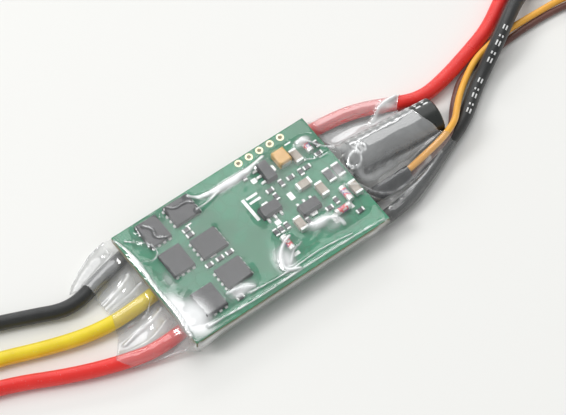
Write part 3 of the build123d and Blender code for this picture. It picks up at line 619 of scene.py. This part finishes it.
def make_film():
    share = np.linspace(0, 1, ACROSS)
    share = share - GATHER * np.sin(2 * math.pi * share)
    left = along_line(MOTOR_MOUTH, share)[None, :]
    right = along_line(BATTERY_MOUTH, share)[None, :]
    step = np.linspace(0, 1, ALONG)[:, None]
    x = left + (right - left) * step
    near, far = along_line(NEAR_SIDE, x), along_line(FAR_SIDE, x)
    y = near + (far - near) * share[None, :]
    z, shine, covers = film_height(x, y)
    haze_and_painted_light = film_veil_and_painted_light(x, y, near, shine, covers)
    points, veil_and_painted_light = [], []
    ring = ACROSS + UNDER - 2
    for i in range(ALONG):
        for j in range(ACROSS):
            points.append((x[i, j] * MM, y[i, j] * MM, z[i, j] * MM))
            veil_and_painted_light.append(float(haze_and_painted_light[i, j]))
        for k in range(1, UNDER - 1):
            t = 1 - k / (UNDER - 1)
            j = t * (ACROSS - 1)
            low, part = int(j), j - int(j)
            high = min(low + 1, ACROSS - 1)
            px = x[i, low] * (1 - part) + x[i, high] * part
            py = y[i, low] * (1 - part) + y[i, high] * part
            inward = min(t, 1 - t) * (y[i, -1] - y[i, 0])
            tuck = max(0.0, 1 - inward / TUCK) ** 2 * (fold_height(px) - BASE)
            points.append((px * MM, py * MM, (BASE + tuck) * MM))
            veil_and_painted_light.append(0.0)
    faces = []
    for i in range(ALONG - 1):
        for j in range(ring):
            after = (j + 1) % ring
            faces.append((i * ring + j, (i + 1) * ring + j, (i + 1) * ring + after, i * ring + after))
    mesh = bpy.data.meshes.new("shrink_film")
    mesh.from_pydata(points, [], faces)
    mesh.attributes.new("haze_and_painted_light", "FLOAT", "POINT").data.foreach_set("value", veil_and_painted_light)
    film = bpy.data.objects.new("shrink_film", mesh)
    bpy.context.scene.collection.objects.link(film)
    solid = film.modifiers.new("wall", "SOLIDIFY")
    solid.thickness = WALL * MM
    solid.offset = 1
    bpy.context.view_layer.update()
    shaped = bpy.data.meshes.new_from_object(film.evaluated_get(bpy.context.evaluated_depsgraph_get()))
    film.modifiers.clear()
    film.data = shaped
    inner = len(points)
    milk_and_painted_light = shaped.attributes["haze_and_painted_light"].data
    for v in shaped.vertices:
        v.co.z = max(v.co.z, ABOVE_TABLE)
        if v.index < inner:
            milk_and_painted_light[v.index].value = 0.0
    shaped.shade_smooth()
    shaped.materials.clear()
    shaped.materials.append(materials["clear_film"])
    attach(film, "root")
    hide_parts("heat_shrink_sleeve")


make_film()


# ------------------------------------------------------------------ printed marks
SUNK, RAISED = -0.00008, 0.00003      # a mark's two faces, from the surface that it is printed on


def mark_patch(centre_line, radius, start, end, angle, width):
    """A thin printed patch that follows a round body: from start to end along its line, in metres."""
    lengths = [0.0]
    for a, b in zip(centre_line, centre_line[1:]):
        lengths.append(lengths[-1] + (b - a).length)
    rows, columns = max(3, int((end - start) / 0.0005) + 2), 4
    points = []
    for layer in (SUNK, RAISED):
        for i in range(rows):
            at = start + (end - start) * i / (rows - 1)
            k = max(n for n in range(len(lengths) - 1) if lengths[n] <= at)
            t = (at - lengths[k]) / (lengths[k + 1] - lengths[k])
            centre = centre_line[k].lerp(centre_line[k + 1], t)
            ahead = (centre_line[min(k + 2, len(lengths) - 1)] - centre_line[max(k - 1, 0)]).normalized()
            side = Vector((0, 0, 1)).cross(ahead).normalized()
            up = ahead.cross(side)
            for j in range(columns):
                turn = angle + (j / (columns - 1) - 0.5) * width / radius
                points.append(centre + (side * math.sin(turn) + up * math.cos(turn)) * (radius + layer))
    faces = []
    half = rows * columns
    for i in range(rows - 1):
        for j in range(columns - 1):
            a = i * columns + j
            faces.append((half + a, half + a + 1, half + a + 1 + columns, half + a + columns))
            faces.append((a, a + columns, a + 1 + columns, a + 1))
    rim = [j for j in range(columns)] + [i * columns + columns - 1 for i in range(1, rows)]
    rim += [(rows - 1) * columns + j for j in range(columns - 2, -1, -1)]
    rim += [i * columns for i in range(rows - 2, 0, -1)]
    for a, b in zip(rim, rim[1:] + rim[:1]):
        faces.append((a, b, half + b, half + a))
    return points, faces


def marks(name, pieces):
    points, faces = [], []
    for more_points, more_faces in pieces:
        start = len(points)
        points += more_points
        faces += [tuple(start + i for i in face) for face in more_faces]
    mesh = bpy.data.meshes.new(name)
    mesh.from_pydata(points, [], faces)
    form = bmesh.new()
    form.from_mesh(mesh)
    bmesh.ops.recalc_face_normals(form, faces=form.faces)
    form.to_mesh(mesh)
    form.free()
    mesh.shade_smooth()
    mesh.materials.append(materials["print_white"])
    obj = bpy.data.objects.new(name, mesh)
    bpy.context.scene.collection.objects.link(obj)
    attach(obj, "root")
    return obj


def make_wire_print():
    """Plain dashes in two groups along the black battery wire, as its printing looks from afar."""
    line = lines["battery_wire_black"]
    group_starts, step, stroke = (0.0322, 0.0450), 0.0019, 0.00032
    pieces = []
    for first in group_starts:
        for n, long in enumerate((1.1, 0.5, 1.1, 0.5, 1.1)):
            start = first + n * step
            for angle in (-0.55, -0.10):
                pieces.append(mark_patch(line, WIRE_D / 2 * MM, start, start + long * MM, angle, stroke))
    return marks("battery_wire_print", pieces)


def make_capacitor_print():
    """A stripe of short bars down one side of the storage capacitor."""
    low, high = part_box("capacitor_jacket")
    middle = (low + high) / 2
    turn, half, radius = math.radians(-4.9), 0.0098, 0.004
    first, step, stroke = 0.0006, 0.00172, 0.00046
    ahead = Vector((math.cos(turn), math.sin(turn), 0))
    line = [middle + ahead * (half * (i / 10 - 1)) for i in range(21)]
    pieces = []
    for n in range(11):
        start = first + n * step
        for angle, long in ((0.84, 1.1), (0.62, 0.5), (0.40, 1.1)):
            pieces.append(mark_patch(line, radius, start, start + long * MM, angle, stroke))
    return marks("capacitor_print", pieces)


make_wire_print()
make_capacitor_print()

# ------------------------------------------------------------------ stage and lights
def area_light(name, place_at, aim, size, power):
    data = bpy.data.lights.new(name, "AREA")
    data.shape = "RECTANGLE"
    data.size, data.size_y = size
    data.energy = power
    light = bpy.data.objects.new(name, data)
    light.location = place_at
    light.rotation_euler = (Vector(place_at) - Vector(aim)).to_track_quat("Z", "Y").to_euler()
    bpy.context.scene.collection.objects.link(light)


def make_stage():
    half = 6.0
    mesh = bpy.data.meshes.new("table")
    corners = [(-half, -half, 0), (half, -half, 0), (half, half, 0), (-half, half, 0)]
    mesh.from_pydata(corners, [], [(0, 1, 2, 3)])
    floor = bpy.data.objects.new("table", mesh)
    bpy.context.scene.collection.objects.link(floor)
    material, _, shader = graph("table")
    shader.inputs["Base Color"].default_value = (0.875, 0.87, 0.84, 1)
    shader.inputs["Roughness"].default_value = 0.9
    mesh.materials.append(material)
    world = bpy.data.worlds.new("studio")
    world.use_nodes = True
    background = world.node_tree.nodes["Background"]
    background.inputs["Color"].default_value = (0.97, 0.985, 1.0, 1)
    background.inputs["Strength"].default_value = 0.50
    bpy.context.scene.world = world
    area_light("window", (-1.00, 0.55, 0.95), (0, 0, 0), (0.45, 0.45), 9)
    area_light("strip", (0.55, 1.00, 0.55), (0, 0, 0), (0.9, 0.18), 3)
    area_light("ceiling", (0.36, 0.48, 1.04), (0, 0, 0), (0.9, 0.9), 4.6)


make_stage()
bpy.context.scene.view_settings.view_transform = "Standard"

# ------------------------------------------------------------------ scene update
bpy.context.view_layer.update()
